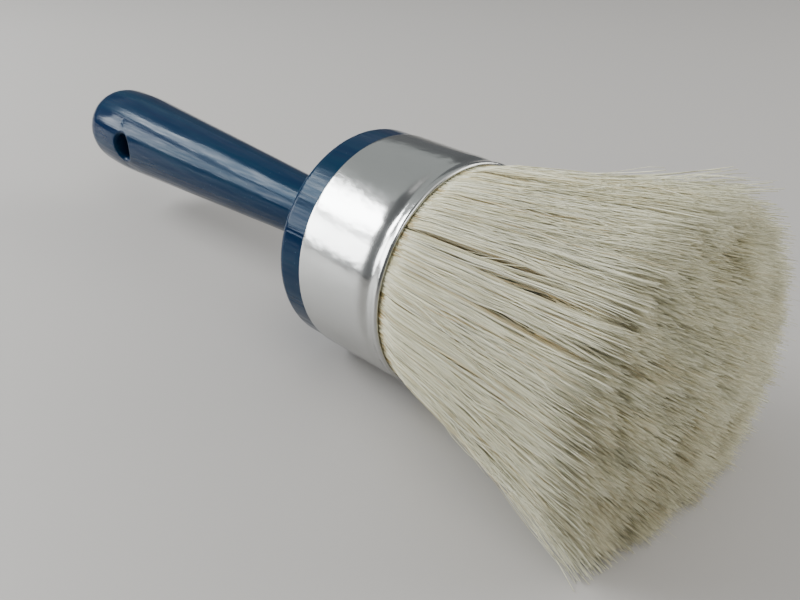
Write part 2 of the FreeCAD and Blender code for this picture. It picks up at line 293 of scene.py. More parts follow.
def bump(tree, height, shader, strength, distance, under=None):
    """Feeds a height to the shader's normal through a Bump node."""
    node = add_node(tree, "ShaderNodeBump", Strength=strength, Distance=distance)
    tree.links.new(height, node.inputs["Height"])
    if under is not None:
        tree.links.new(under, node.inputs["Normal"])
    tree.links.new(node.outputs[0], shader.inputs["Normal"])
    return node.outputs[0]


# ---------------------------------------------------------------- shared surface effects


def streak_group():
    """Uneven streaks along the brush: a mask from noise drawn out along X."""
    group, values, result = new_group(
        "lengthwise_streaks", {"Width": 700.0, "Length": 25.0, "Contrast": 1.0},
        {"Mask": "NodeSocketFloat"})
    place = group.nodes.new("ShaderNodeTexCoord")
    spread = group.nodes.new("ShaderNodeCombineXYZ")
    group.links.new(values.outputs["Length"], spread.inputs["X"])
    group.links.new(values.outputs["Width"], spread.inputs["Y"])
    group.links.new(values.outputs["Width"], spread.inputs["Z"])
    stretch = group.nodes.new("ShaderNodeVectorMath")
    stretch.operation = "MULTIPLY"
    group.links.new(place.outputs["Object"], stretch.inputs[0])
    group.links.new(spread.outputs[0], stretch.inputs[1])
    noise = add_node(group, "ShaderNodeTexNoise", Scale=1.0, Detail=4.0, Roughness=0.55)
    group.links.new(stretch.outputs[0], noise.inputs["Vector"])
    centred = maths(group, "SUBTRACT", noise.outputs["Fac"], 0.5)
    scaled = maths(group, "MULTIPLY", centred, values.outputs["Contrast"])
    lifted = maths(group, "ADD", scaled, 0.5)
    lifted.node.use_clamp = True
    group.links.new(lifted, result.inputs["Mask"])
    return group


def speck_group():
    """Small specks of dust: a mask of scattered dots, kept to some patches."""
    group, values, result = new_group(
        "dust_specks", {"Size": 1800.0, "Amount": 0.12}, {"Mask": "NodeSocketFloat"})
    place = group.nodes.new("ShaderNodeTexCoord")
    cells = add_node(group, "ShaderNodeTexVoronoi", Scale=1.0)
    group.links.new(place.outputs["Object"], cells.inputs["Vector"])
    group.links.new(values.outputs["Size"], cells.inputs["Scale"])
    dots = maths(group, "LESS_THAN", cells.outputs["Distance"], values.outputs["Amount"])
    rough = add_node(group, "ShaderNodeTexNoise", Scale=160.0, Detail=2.0)
    group.links.new(place.outputs["Object"], rough.inputs["Vector"])
    patches = maths(group, "GREATER_THAN", rough.outputs["Fac"], 0.55)
    group.links.new(maths(group, "MULTIPLY", dots, patches), result.inputs["Mask"])
    return group


def band_group():
    """A soft band round the brush at a place along it, broken up by noise, for worn edges."""
    group, values, result = new_group(
        "edge_band", {"Place": 0.0, "Half Width": 0.001}, {"Mask": "NodeSocketFloat"})
    place = group.nodes.new("ShaderNodeTexCoord")
    parts = group.nodes.new("ShaderNodeSeparateXYZ")
    group.links.new(place.outputs["Object"], parts.inputs[0])
    aside = maths(group, "SUBTRACT", parts.outputs["X"], values.outputs["Place"])
    away = maths(group, "ABSOLUTE", aside)
    near = maths(group, "SUBTRACT", 1.0, maths(group, "DIVIDE", away, values.outputs["Half Width"]))
    near.node.use_clamp = True
    noise = add_node(group, "ShaderNodeTexNoise", Scale=420.0, Detail=5.0)
    group.links.new(place.outputs["Object"], noise.inputs["Vector"])
    broken = maths(group, "MULTIPLY", near, maths(group, "MULTIPLY", noise.outputs["Fac"], 1.6))
    broken.node.use_clamp = True
    group.links.new(broken, result.inputs["Mask"])
    return group


def scratch_group():
    """Fine scratches round the ring, as a height."""
    group, values, result = new_group(
        "turned_scratches", {"Fineness": 9000.0}, {"Height": "NodeSocketFloat"})
    place = group.nodes.new("ShaderNodeTexCoord")
    spread = group.nodes.new("ShaderNodeCombineXYZ")
    group.links.new(values.outputs["Fineness"], spread.inputs["X"])
    spread.inputs["Y"].default_value = 60.0
    spread.inputs["Z"].default_value = 60.0
    stretch = group.nodes.new("ShaderNodeVectorMath")
    stretch.operation = "MULTIPLY"
    group.links.new(place.outputs["Object"], stretch.inputs[0])
    group.links.new(spread.outputs[0], stretch.inputs[1])
    noise = add_node(group, "ShaderNodeTexNoise", Scale=1.0, Detail=3.0, Roughness=0.6)
    group.links.new(stretch.outputs[0], noise.inputs["Vector"])
    group.links.new(noise.outputs["Fac"], result.inputs["Height"])
    return group


# ---------------------------------------------------------------- materials


def lacquer_material(groups, look):
    """Blue lacquer over wood: streaks left by dipping, dust, rubbed edges and a hard gloss."""
    material, tree, shader = new_material(
        "lacquered_wood", Coat_Roughness=0.08, Coat_IOR=1.25,
        Specular_IOR_Level=0.07, Specular_Tint=(0.26, 0.55, 0.80, 1.0))
    streak = use_group(tree, groups["streaks"], Width=210.0, Length=12.0, Contrast=2.2)
    fine = use_group(tree, groups["streaks"], Width=1500.0, Length=60.0, Contrast=1.3)
    wear = use_group(tree, groups["band"], Place=WORN_EDGE_X, Half_Width=0.9 * MM)
    specks = use_group(tree, groups["specks"], Size=900.0, Amount=0.07)
    base = mix_colours(tree, streak.outputs[0], tuple(look.lacquer), tuple(look.thin_lacquer))
    worn = mix_colours(tree, wear.outputs[0], base, tuple(look.worn))
    dusty = mix_colours(tree, specks.outputs[0], worn, tuple(look.worn))
    tree.links.new(dusty, shader.inputs["Base Color"])
    rough = ramp(tree, streak.outputs[0], [(0.2, grey(0.11)), (0.85, grey(0.24))])
    tree.links.new(rough, shader.inputs["Roughness"])
    coat = ramp(tree, fine.outputs[0], [(0.38, grey(0.0)), (0.80, grey(0.42))])
    tree.links.new(coat, shader.inputs["Coat Weight"])
    wavy = bump(tree, streak.outputs[0], shader, 0.45, 0.25 * MM)
    bump(tree, fine.outputs[0], shader, 0.12, 0.06 * MM, wavy)
    tree.links.new(wavy, shader.inputs["Coat Normal"])
    return material


def steel_material(groups, look):
    """Plated steel: a satin grain round the ring, with faint smears and shallow waves."""
    material, tree, shader = new_material("satin_steel", Metallic=1.0)
    scratch = use_group(tree, groups["scratches"], Fineness=9000.0)
    smear = use_group(tree, groups["streaks"], Width=90.0, Length=45.0, Contrast=1.6)
    specks = use_group(tree, groups["specks"], Size=1400.0, Amount=0.05)
    steel = tuple(look.steel)
    smeared = mix_colours(tree, smear.outputs[0], steel, tuple(0.9 * c for c in steel))
    dusty = mix_colours(tree, specks.outputs[0], smeared, grey(0.35))
    tree.links.new(dusty, shader.inputs["Base Color"])
    rough = ramp(tree, smear.outputs[0], [(0.2, grey(0.15)), (0.8, grey(0.24))])
    tree.links.new(rough, shader.inputs["Roughness"])
    warp = use_group(tree, groups["streaks"], Width=70.0, Length=40.0, Contrast=0.8)
    dented = bump(tree, warp.outputs[0], shader, 0.8, 0.6 * MM)
    bump(tree, scratch.outputs[0], shader, 0.05, 0.02 * MM, dented)
    return material


def nail_material(groups, look):
    """Bright nail wire with a dull stain in places."""
    material, tree, shader = new_material("nail_wire", Metallic=1.0)
    stain = use_group(tree, groups["streaks"], Width=600.0, Length=600.0, Contrast=2.0)
    nail = tuple(look.nail)
    stained = mix_colours(tree, stain.outputs[0], nail, tuple(0.55 * c for c in nail))
    tree.links.new(stained, shader.inputs["Base Color"])
    rough = ramp(tree, stain.outputs[0], [(0.2, grey(0.18)), (0.8, grey(0.42))])
    tree.links.new(rough, shader.inputs["Roughness"])
    return material


def wood_material(groups):
    """Bare beech with its grain along the brush."""
    material, tree, shader = new_material("bare_beech")
    grain = use_group(tree, groups["streaks"], Width=900.0, Length=40.0, Contrast=2.2)
    colour = mix_colours(tree, grain.outputs[0], (0.52, 0.34, 0.19), (0.36, 0.21, 0.10))
    tree.links.new(colour, shader.inputs["Base Color"])
    rough = ramp(tree, grain.outputs[0], [(0.0, grey(0.55)), (1.0, grey(0.75))])
    tree.links.new(rough, shader.inputs["Roughness"])
    bump(tree, grain.outputs[0], shader, 0.3, 0.1 * MM)
    return material


def resin_material(groups):
    """Set amber resin, cloudy in places."""
    material, tree, shader = new_material("set_resin", IOR=1.55)
    cloud = use_group(tree, groups["streaks"], Width=140.0, Length=140.0, Contrast=2.0)
    colour = mix_colours(tree, cloud.outputs[0], (0.23, 0.10, 0.03), (0.40, 0.22, 0.08))
    tree.links.new(colour, shader.inputs["Base Color"])
    rough = ramp(tree, cloud.outputs[0], [(0.2, grey(0.18)), (0.8, grey(0.35))])
    tree.links.new(rough, shader.inputs["Roughness"])
    return material


def bristle_material(look):
    """Hog bristle. The piece's own map holds the bristle's tint across and its length along."""
    material, tree, shader = new_material("hog_bristle", IOR=1.5, Specular_IOR_Level=0.45)
    place = add_node(tree, "ShaderNodeUVMap", uv_map=BRISTLE_MAP)
    parts = tree.nodes.new("ShaderNodeSeparateXYZ")
    tree.links.new(place.outputs[0], parts.inputs[0])
    tint, along = parts.outputs["X"], parts.outputs["Y"]
    colour = ramp(tree, tint, [
        (0.0, tuple(look.pale)), (0.45, tuple(look.cream)), (0.80, tuple(look.tan)),
        (1.0, tuple(look.olive))])
    spread = add_node(tree, "ShaderNodeMapping")
    spread.inputs["Scale"].default_value = (380.0, 5.0, 1.0)
    tree.links.new(place.outputs[0], spread.inputs["Vector"])
    noise = add_node(tree, "ShaderNodeTexNoise", Scale=1.0, Detail=3.0)
    tree.links.new(spread.outputs[0], noise.inputs["Vector"])
    mottle = ramp(tree, noise.outputs["Fac"], [(0.30, grey(0.72)), (0.70, grey(1.0))])
    shaded = mix_colours(tree, 1.0, colour, mottle)
    shaded.node.blend_type = "MULTIPLY"
    ends = ramp(tree, along, [(0.0, grey(0.0)), (0.80, grey(0.10)), (1.0, grey(0.55))])
    bleached = mix_colours(tree, ends, shaded, tuple(look.pale))
    tree.links.new(bleached, shader.inputs["Base Color"])
    rough = ramp(tree, noise.outputs["Fac"], [(0.3, grey(0.34)), (0.7, grey(0.52))])
    tree.links.new(rough, shader.inputs["Roughness"])
    return material


# ---------------------------------------------------------------- ferrule

SHEET = 0.5 * MM
BEAD = 0.6 * MM
DENT_BALL = 9.0 * MM
DENT_DEPTH = 1.5 * MM
COVE_LENGTH = 6.0 * MM
COVE_DEPTH = 0.34 * MM
RING_SIDES = 256


def ring_outline():
    """The ring's section as (place along the brush, radius): wall, cove, rolled bead, inside."""
    outer, inner = FERRULE_RADIUS, FERRULE_RADIUS - SHEET
    bead_x, bead_r = MOUTH_X - BEAD, outer - BEAD
    cove_start, cove_end = bead_x - COVE_LENGTH, bead_x - 0.25 * MM
    outline = [
        (BACK_X, inner + 0.1 * MM), (BACK_X, outer - 0.15 * MM),
        (BACK_X + 0.05 * MM, outer - 0.04 * MM)]
    steps = 26
    wall_start = BACK_X + 0.18 * MM
    for k in range(steps + 1):
        outline.append((wall_start + (cove_start - wall_start) * k / steps, outer))
    for k in range(1, 13):
        share = k / 12
        dip = COVE_DEPTH * math.sin(math.pi * share ** 1.7) ** 2
        outline.append((cove_start + (cove_end - cove_start) * share, outer - dip - 0.05 * MM * share))
    for k in range(1, 15):
        turn = math.radians(100.0 - 280.0 * k / 14)
        outline.append((bead_x + BEAD * math.cos(turn), bead_r + BEAD * math.sin(turn)))
    outline.append((cove_end, inner - 0.20 * MM))
    for k in range(steps + 1):
        outline.append((cove_start - (cove_start - BACK_X - 0.1 * MM) * k / steps, inner))
    return outline


def turned_piece(name, outline, sides):
    """Turns a closed outline round the brush's axis, ring by ring."""
    clear_selection()
    first_x, first_radius = outline[0]
    bpy.ops.mesh.primitive_circle_add(
        vertices=sides, radius=first_radius, fill_type="NOTHING",
        location=(first_x, 0.0, AXIS_HEIGHT), rotation=(0.0, math.pi / 2, 0.0))
    piece = bpy.context.object
    piece.name = piece.data.name = name
    bpy.ops.object.transform_apply(location=True, rotation=True, scale=True)
    bpy.ops.object.mode_set(mode="EDIT")
    bpy.ops.mesh.select_mode(type="EDGE")
    bpy.ops.mesh.select_all(action="SELECT")
    for (x, radius), (next_x, next_radius) in zip(outline, outline[1:] + outline[:1]):
        bpy.ops.mesh.extrude_region_move(TRANSFORM_OT_translate={"value": (next_x - x, 0.0, 0.0)})
        grown = next_radius / radius
        bpy.ops.transform.resize(
            value=(1.0, grown, grown), center_override=(next_x, 0.0, AXIS_HEIGHT))
    bpy.ops.mesh.select_mode(type="VERT")
    bpy.ops.mesh.select_all(action="SELECT")
    bpy.ops.mesh.remove_doubles(threshold=0.002 * MM)
    bpy.ops.mesh.normals_make_consistent(inside=False)
    bpy.ops.object.mode_set(mode="OBJECT")
    return piece


def nail_places():
    """Where the nails stand: their place along the brush and their directions from the axis."""
    nails = [v.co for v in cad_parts["ferrule_nails"].data.vertices]
    upper = [v for v in nails if v.z > AXIS_HEIGHT]
    middle = sum(upper, Vector()) / len(upper)
    outward = Vector((0.0, middle.y, middle.z - AXIS_HEIGHT)).normalized()
    return middle.x, (outward, -outward)


def press_dents(ring):
    """Presses the dent of each nail into the ring's wall, with a soft lip."""
    nail_x, directions = nail_places()
    ball_centre = FERRULE_RADIUS + DENT_BALL - DENT_DEPTH
    soft = 0.25 * MM
    for vertex in ring.data.vertices:
        spoke = Vector((0.0, vertex.co.y, vertex.co.z - AXIS_HEIGHT))
        radius = spoke.length
        spoke.normalize()
        inset = FERRULE_RADIUS - radius
        for direction in directions:
            facing = spoke.dot(direction)
            ball = DENT_BALL + min(inset, SHEET)
            aside = vertex.co.x - nail_x
            inner_part = (ball_centre * facing) ** 2 - (ball_centre ** 2 + aside ** 2 - ball ** 2)
            if facing <= 0.0 or inner_part <= 0.0:
                continue
            floor = ball_centre * facing - math.sqrt(inner_part)
            gap = (radius - floor) / soft
            pressed = radius - soft * math.log1p(math.exp(min(gap, 40.0))) if gap < 40.0 else floor
            pressed += soft * math.log(2.0) if gap > 0.0 else soft * math.log1p(math.exp(gap))
            radius = min(radius, pressed)
        vertex.co.y = spoke.y * radius
        vertex.co.z = AXIS_HEIGHT + spoke.z * radius


def make_ring():
    """The ferrule's ring: drawn wall, cove, rolled bead and the dents of its nails."""
    ring = turned_piece("ferrule_ring", ring_outline(), RING_SIDES)
    press_dents(ring)
    clear_selection()
    ring.select_set(True)
    bpy.context.view_layer.objects.active = ring
    bpy.ops.object.shade_smooth_by_angle(angle=math.radians(60.0))
    return ring


# ---------------------------------------------------------------- bristles

SEED = 7
BRISTLE_MAP = "OFBake"  # the name of the bristles' own map; the map name that an export bakes through
MAIN_PARTINGS = 4  # the first ones in the list, which the bristles beside them lie straight along
ROOT_DEPTH = 4.5 * MM  # how far inside the mouth the long bristles start
FACE_ARCH = 95.0 * MM  # radius of the trimmed face's dome
FACE_MIDDLE = 3.2 * MM  # how far the dome's middle stands past the flat face
FACE_DROP = 1.2 * MM  # how much shorter the far top side is trimmed
RAGGED = 2.5 * MM  # spread of the bristles' lengths
FACE_LENGTH = 14.0 * MM  # length of the bristle ends in the face
FLAG_LENGTH = 5.0 * MM
FLAG_REACH = 0.6 * MM  # how far the flags stand past the bristles
WAVE_LEAST, WAVE_MOST = 0.04 * MM, 0.34 * MM  # how far a bristle waves to each side
LEAN = 1.05 * MM  # spread of how far the tips lean over
PARTING_OPENS, PARTING_CLOSES = 0.10, 0.14  # shares of the length that a parting's ends take
STEP_ASIDE = math.radians(0.03)  # within this, bristles cross a parting instead of clearing it
CALM_REACH = math.radians(5.0)  # how far from a main parting bristles lie straighter
CALMED = 0.85  # share of the wave that they lose beside it
TABLE_SPREAD = 0.12  # how far the bristles that lie on the table spread sideways
EASE = 1.3 * MM  # how far strays may stand past the bundle's room
HEART_ROOT_X = MOUTH_X - 4.0 * MM
HEART_TIP_X = TIP_X - 9.0 * MM


def cut_into_rings(piece, cuts):
    """Divides the edges that run along a piece one unit long, so that rings go round it."""
    if cuts < 1:
        return
    bpy.ops.object.mode_set(mode="EDIT")
    bpy.ops.mesh.select_mode(type="EDGE")
    bpy.ops.mesh.select_all(action="DESELECT")
    bpy.ops.object.mode_set(mode="OBJECT")
    for edge in piece.data.edges:
        ends = [piece.data.vertices[v].co.x for v in edge.vertices]
        edge.select = abs(ends[0] - ends[1]) > 0.5
    bpy.ops.object.mode_set(mode="EDIT")
    bpy.ops.mesh.subdivide(number_cuts=cuts)
    bpy.ops.mesh.select_mode(type="VERT")
    bpy.ops.object.mode_set(mode="OBJECT")


def master_bristle(rings):
    """One bristle of unit length along X with three sides, tapered, as vertices and faces."""
    clear_selection()
    bpy.ops.mesh.primitive_cone_add(
        vertices=3, radius1=1.0, radius2=0.42, depth=1.0, location=(0.5, 0.0, 0.0),
        rotation=(0.0, math.pi / 2, 0.0))
    master = bpy.context.object
    bpy.ops.object.transform_apply(location=True, rotation=True, scale=True)
    cut_into_rings(master, rings - 2)
    vertices = np.array([v.co[:] for v in master.data.vertices])
    faces = [tuple(p.vertices) for p in master.data.polygons]
    mesh = master.data
    bpy.data.objects.remove(master)
    bpy.data.meshes.remove(mesh)
    return vertices, faces


class Bristles:
    """Bristles by their place in the bundle: angle round the axis, depth from it (1 is the
    outside) and where along the brush each starts and ends."""

    def __init__(self, count, rng, depth_low, depth_high, look, bundle):
        self.rng = rng
        self.count = count
        self.bundle = bundle
        self.angle = rng.uniform(0.0, 2.0 * math.pi, (count, 1))
        square = rng.uniform(depth_low ** 2, depth_high ** 2, (count, 1))
        self.depth = np.sqrt(square)
        self.root_radius = FERRULE_RADIUS - look.mouth_gap
        self.swell = look.mouth_swell
        self.long = True
        self.stain_size = 0.38
        self.part_size = 1.0
        self.radius = look.thickness * rng.uniform(0.50, 1.0, (count, 1))
        self.gather()
        self.wave = rng.uniform(WAVE_LEAST, WAVE_MOST, (count, 2, 1))
        self.wave[rng.uniform(size=count) < 0.18] *= 2.2
        self.turns = rng.uniform(0.7, 2.2, (count, 2, 1))
        self.phase = rng.uniform(0.0, 2.0 * math.pi, (count, 2, 1))
        self.lean = rng.normal(0.0, LEAN, (count, 2, 1))
        self.start = np.full((count, 1), MOUTH_X - ROOT_DEPTH)
        self.end = self.face_place() - np.abs(rng.normal(0.0, RAGGED, (count, 1)))
        self.end += self.lock_reach
        self.end += (rng.uniform(size=(count, 1)) < 0.08) * rng.uniform(0.4, 2.4, (count, 1)) * MM

    def gather(self):
        """Finds each bristle's lock: the nearest of the lock centres."""
        locks = self.bundle
        place = np.column_stack([
            np.cos(self.angle) * self.depth, np.sin(self.angle) * self.depth])
        gap = ((place[:, None, :] - locks.place[None, :, :]) ** 2).sum(2)
        own = gap.argmin(1)
        self.pull = locks.place[own] - place
        self.pull_share = locks.pull[own][:, None] * np.clip(self.depth, 0.35, 1.0)
        self.lock_reach = locks.reach[own][:, None]
        own_tint = self.rng.normal(0.0, 0.24, self.count)
        self.tint = np.clip(locks.tint[own] + own_tint, 0.0, 1.0)

    def far_top(self):
        """How far round towards the side that is trimmed a little shorter."""
        return np.clip(np.cos(self.angle - math.radians(55.0)), 0.0, 1.0) ** 2

    def make_short(self):
        """Makes these the ends that show in the trimmed face: unparted, and paler near its far
        rim, a painted highlight for the light from behind that catches them there."""
        self.long = False
        self.stain_size = 0.0
        self.pull_share *= 0.55
        # painted highlight: the ends round the face's far rim are tinted paler, standing in for the
        # light from behind that catches them
        rim = np.clip((self.depth[:, 0] - 0.76) / 0.16, 0.0, 1.0)
        far = np.clip(0.5 + np.cos(self.angle[:, 0] - math.radians(10.0)), 0.0, 1.0)
        self.tint = self.tint * (1.0 - 0.7 * rim * far)

    def face_place(self):
        """Where the trimmed face is along the brush, over each bristle."""
        spread = TIP_RADIUS * self.depth
        sag = FACE_ARCH - np.sqrt(FACE_ARCH ** 2 - spread ** 2)
        return TIP_X + FACE_MIDDLE - sag - self.far_top() * self.depth * FACE_DROP

    def parted(self, angle, share):
        """The turn round the axis that the partings give to bristles at an angle."""
        turn = np.zeros(angle.shape)
        for gap in self.bundle.partings:
            away = (angle - gap["angle"] + math.pi) % (2.0 * math.pi) - math.pi
            opened = np.clip((share - gap["start"]) / PARTING_OPENS, 0.0, 1.0)
            opened = opened * np.clip((gap["end"] - share) / PARTING_CLOSES, 0.0, 1.0)
            side = np.tanh(away / STEP_ASIDE)
            turn += gap["width"] * opened * side * np.exp(-np.abs(away) / gap["reach"])
        return turn

    def calm(self):
        """How straight each bristle lies: those beside the main partings wave the least."""
        still = np.zeros(self.angle.shape)
        for gap in self.bundle.partings[:MAIN_PARTINGS]:
            away = (self.angle - gap["angle"] + math.pi) % (2.0 * math.pi) - math.pi
            still = np.maximum(still, np.exp(-(away / CALM_REACH) ** 2))
        return 1.0 - CALMED * still

    def points(self, along):
        """Each bristle's centre line at the given shares of its length, in metres."""
        x = self.start + (self.end - self.start) * along
        share = np.clip((x - MOUTH_X) / (TIP_X - MOUTH_X), 0.0, 1.1)
        tip_radius = TIP_RADIUS * (1.0 - 0.035 * self.far_top())
        radius = self.root_radius + (tip_radius - self.root_radius) * share ** 1.02
        swollen = (1.0 - np.exp(-share / 0.022)) * np.clip(1.0 - share, 0.0, 1.0)
        radius = radius + self.swell * swollen
        gathered = self.pull_share * np.clip(share * 1.6, 0.0, 1.0) ** 1.5 * (1.25 - 0.4 * share)
        beyond = np.maximum(self.depth - 1.0, 0.0) * np.clip(share / 0.12, 0.0, 1.0)
        depth = np.minimum(self.depth, 1.0) + beyond
        across = np.cos(self.angle) * depth + self.pull[:, :1] * gathered
        up = np.sin(self.angle) * depth + self.pull[:, 1:] * gathered
        calm = self.calm()
        swing = [calm * (
            self.wave[:, k] * np.minimum(share * 1.7, 1.0)
            * np.sin(2.0 * math.pi * self.turns[:, k] * share + self.phase[:, k])
            + self.lean[:, k] * share ** 2) for k in (0, 1)]
        y = across * radius + swing[0]
        z = up * radius + swing[1]
        if self.long:
            turn = self.part_size * self.parted(np.arctan2(z, y), share)
            y, z = y * np.cos(turn) - z * np.sin(turn), y * np.sin(turn) + z * np.cos(turn)
        low = np.clip(-z / AXIS_HEIGHT, 0.0, 1.2)
        y = y * (1.0 + TABLE_SPREAD * low * share)
        return np.stack([x, y, self.lifted(z)], axis=-1)

    def lifted(self, z):
        """Height above the table: bristles that would sink in it lie on it instead."""
        height = z + AXIS_HEIGHT
        rest = self.radius * 1.2 + (1.0 - self.depth) * 1.5 * MM
        soft = 0.8 * MM
        return rest + soft * np.logaddexp(0.0, (height - rest) / soft)


class Bundle:
    """What the bristles share: the locks that they gather in and the partings between them."""

    def __init__(self, look, rng):
        count = look.lock_count
        angle = rng.uniform(0.0, 2.0 * math.pi, count)
        depth = np.sqrt(rng.uniform(0.0, 1.0, count))
        outer = rng.uniform(size=count) < 0.45
        depth[outer] = rng.uniform(0.9, 1.0, outer.sum())
        self.place = np.column_stack([np.cos(angle) * depth, np.sin(angle) * depth])
        self.pull = rng.uniform(0.05, 0.60, count)
        patches = 0.10 * np.sin(5.0 * angle + 1.0) + 0.08 * np.sin(11.0 * angle)
        # painted shade: the bristles round the underside, towards the near side, are tinted darker,
        # towards tan and olive
        patches += 0.32 * np.clip(np.cos(angle - math.radians(245.0)), 0.0, 1.0)
        self.tint = np.clip(rng.normal(0.36, 0.20, count) + patches, 0.0, 1.0)
        self.reach = rng.normal(0.0, 0.8, count) * MM
        self.partings = [
            parting(134.5, -0.05, 0.66, 0.40, 7.0), parting(138.5, 0.36, 0.98, 0.38, 5.0),
            parting(150.5, 0.45, 0.95, 0.40, 4.0), parting(174.0, 0.30, 0.66, 0.32, 4.0),
            parting(205.0, 0.20, 0.50, 0.26, 4.0), parting(20.0, 0.10, 0.60, 0.32, 6.0)]
        for _ in range(look.gap_count):
            start = rng.uniform(0.10, 0.80)
            self.partings.append(parting(
                rng.uniform(0.0, 360.0), start, start + rng.uniform(0.25, 0.42),
                rng.uniform(0.08, 0.26), rng.uniform(1.5, 4.0)))


def parting(angle, start, end, width, reach):
    """A gap between bristles: its angle in degrees, the shares of the length where it opens
    and closes, its half width in mm and how far round it is felt, in degrees."""
    return {
        "angle": math.radians(angle), "start": start, "end": end,
        "width": width * MM / FERRULE_RADIUS, "reach": math.radians(reach)}


def kept_in(points):
    """The same points with those that stray past the bundle's room eased back to it."""
    room = (
        (0, 1.0, TIP_X + 3.4 * MM), (1, 1.0, TIP_RADIUS + 0.2 * MM),
        (1, -1.0, TIP_RADIUS + 0.2 * MM), (2, 1.0, AXIS_HEIGHT + TIP_RADIUS + 0.1 * MM))
    for axis, side, limit in room:
        over = np.maximum(side * points[..., axis] - limit, 0.0)
        points[..., axis] -= side * (over - EASE * (1.0 - np.exp(-over / EASE)))
    return points


def unit(vectors):
    """Vectors made one long."""
    return vectors / np.linalg.norm(vectors, axis=-1, keepdims=True)


def grow(name, bristles, rings):
    """Copies the master bristle along every centre line, joined as one mesh piece."""
    shape, faces = master_bristle(rings)
    stations, own = np.unique(shape[:, 0].round(4), return_inverse=True)
    centre = kept_in(bristles.points(stations))
    forward = unit(np.gradient(centre, axis=1))
    outward = centre - np.array([0.0, 0.0, AXIS_HEIGHT])
    outward[..., 0] = 0.0
    sideways = unit(np.cross(forward, outward + np.array([0.0, 1e-7, 1e-7])))
    upright = np.cross(sideways, forward)
    spin = bristles.rng.uniform(0.0, 2.0 * math.pi, (bristles.count, 1))
    flat = shape[:, 1] * np.cos(spin) - shape[:, 2] * np.sin(spin)
    tall = shape[:, 1] * np.sin(spin) + shape[:, 2] * np.cos(spin)
    width = bristles.radius[..., None]
    vertices = centre[:, own] + width * (
        flat[..., None] * sideways[:, own] + tall[..., None] * upright[:, own])
    just_above_table = 0.02 * MM
    vertices[..., 2] = np.maximum(vertices[..., 2], just_above_table)
    piece = mesh_piece(name, vertices, faces)
    map_bristles(piece.data, bristles, shape, faces)
    return piece


def mesh_piece(name, vertices, faces):
    """A mesh object of many copies of one set of faces."""
    count, corners = vertices.shape[:2]
    mesh = bpy.data.meshes.new(name)
    one = np.concatenate([np.array(f) for f in faces])
    sizes = np.array([len(f) for f in faces])
    loops = (one[None, :] + (np.arange(count) * corners)[:, None]).ravel()
    starts = np.concatenate([[0], np.cumsum(np.tile(sizes, count))[:-1]])
    mesh.vertices.add(count * corners)
    mesh.vertices.foreach_set("co", vertices.astype(np.float32).ravel())
    mesh.loops.add(len(loops))
    mesh.loops.foreach_set("vertex_index", loops.astype(np.int32))
    mesh.polygons.add(len(starts))
    mesh.polygons.foreach_set("loop_start", starts.astype(np.int32))
    mesh.polygons.foreach_set("use_smooth", np.tile(sizes == 4, count))
    mesh.update(calc_edges=True)
    piece = bpy.data.objects.new(name, mesh)
    bpy.context.scene.collection.objects.link(piece)
    return piece


def map_bristles(mesh, bristles, shape, faces):
    """Lays each bristle on the map: its tint across, its length along."""
    corner = np.concatenate([np.array(f) for f in faces])
    offset = shape[corner, 1] * 0.0012
    along = np.broadcast_to(0.01 + 0.98 * shape[corner, 0], (bristles.count, len(corner)))
    stain = bristles.stain_size * stained(bristles.angle, along)
    across = 0.01 + 0.98 * bristles.tint[:, None] + offset[None, :] + stain
    layer = mesh.uv_layers.new(name=BRISTLE_MAP)
    places = np.stack([np.clip(across, 0.0, 1.0), along], axis=-1)
    layer.uv.foreach_set("vector", places.astype(np.float32).ravel())


def stained(angle, along):
    """Patches of a darker tint, from about -1 to 1, over the angle and the length."""
    coarse = np.sin(7.0 * angle + 5.0 * along + 0.6) * np.sin(13.0 * angle - 9.0 * along + 2.0)
    fine = np.sin(23.0 * angle + 14.0 * along) * np.sin(4.0 * angle + 11.0 * along + 1.0)
    return 0.6 * coarse + 0.5 * fine


def bundle_heart(look):
    """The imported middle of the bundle, below the bristles that show."""
    clear_selection()
    rings, sides = 14, 96
    length = HEART_TIP_X - HEART_ROOT_X
    bpy.ops.mesh.primitive_cylinder_add(
        vertices=sides, radius=1.0, depth=1.0, end_fill_type="TRIFAN",
        location=(0.5, 0.0, 0.0), rotation=(0.0, math.pi / 2, 0.0))
    heart = bpy.context.object
    heart.name = heart.data.name = "bristle_heart"
    bpy.ops.object.transform_apply(location=True, rotation=True, scale=True)
    cut_into_rings(heart, rings)
    root = FERRULE_RADIUS - look.mouth_gap
    for vertex in heart.data.vertices:
        along, y, z = vertex.co
        share = max(0.0, (HEART_ROOT_X + along * length - MOUTH_X) / (TIP_X - MOUTH_X))
        radius = 0.84 * (root + (TIP_RADIUS - root) * share) + 0.125 * root * (1.0 - share) ** 6
        height = max(AXIS_HEIGHT + z * radius, 1.6 * MM)
        vertex.co = (HEART_ROOT_X + along * length, y * radius, height)
    clear_selection()
    heart.select_set(True)
    bpy.context.view_layer.objects.active = heart
    bpy.ops.object.shade_smooth_by_angle(angle=math.radians(50.0))
    return heart


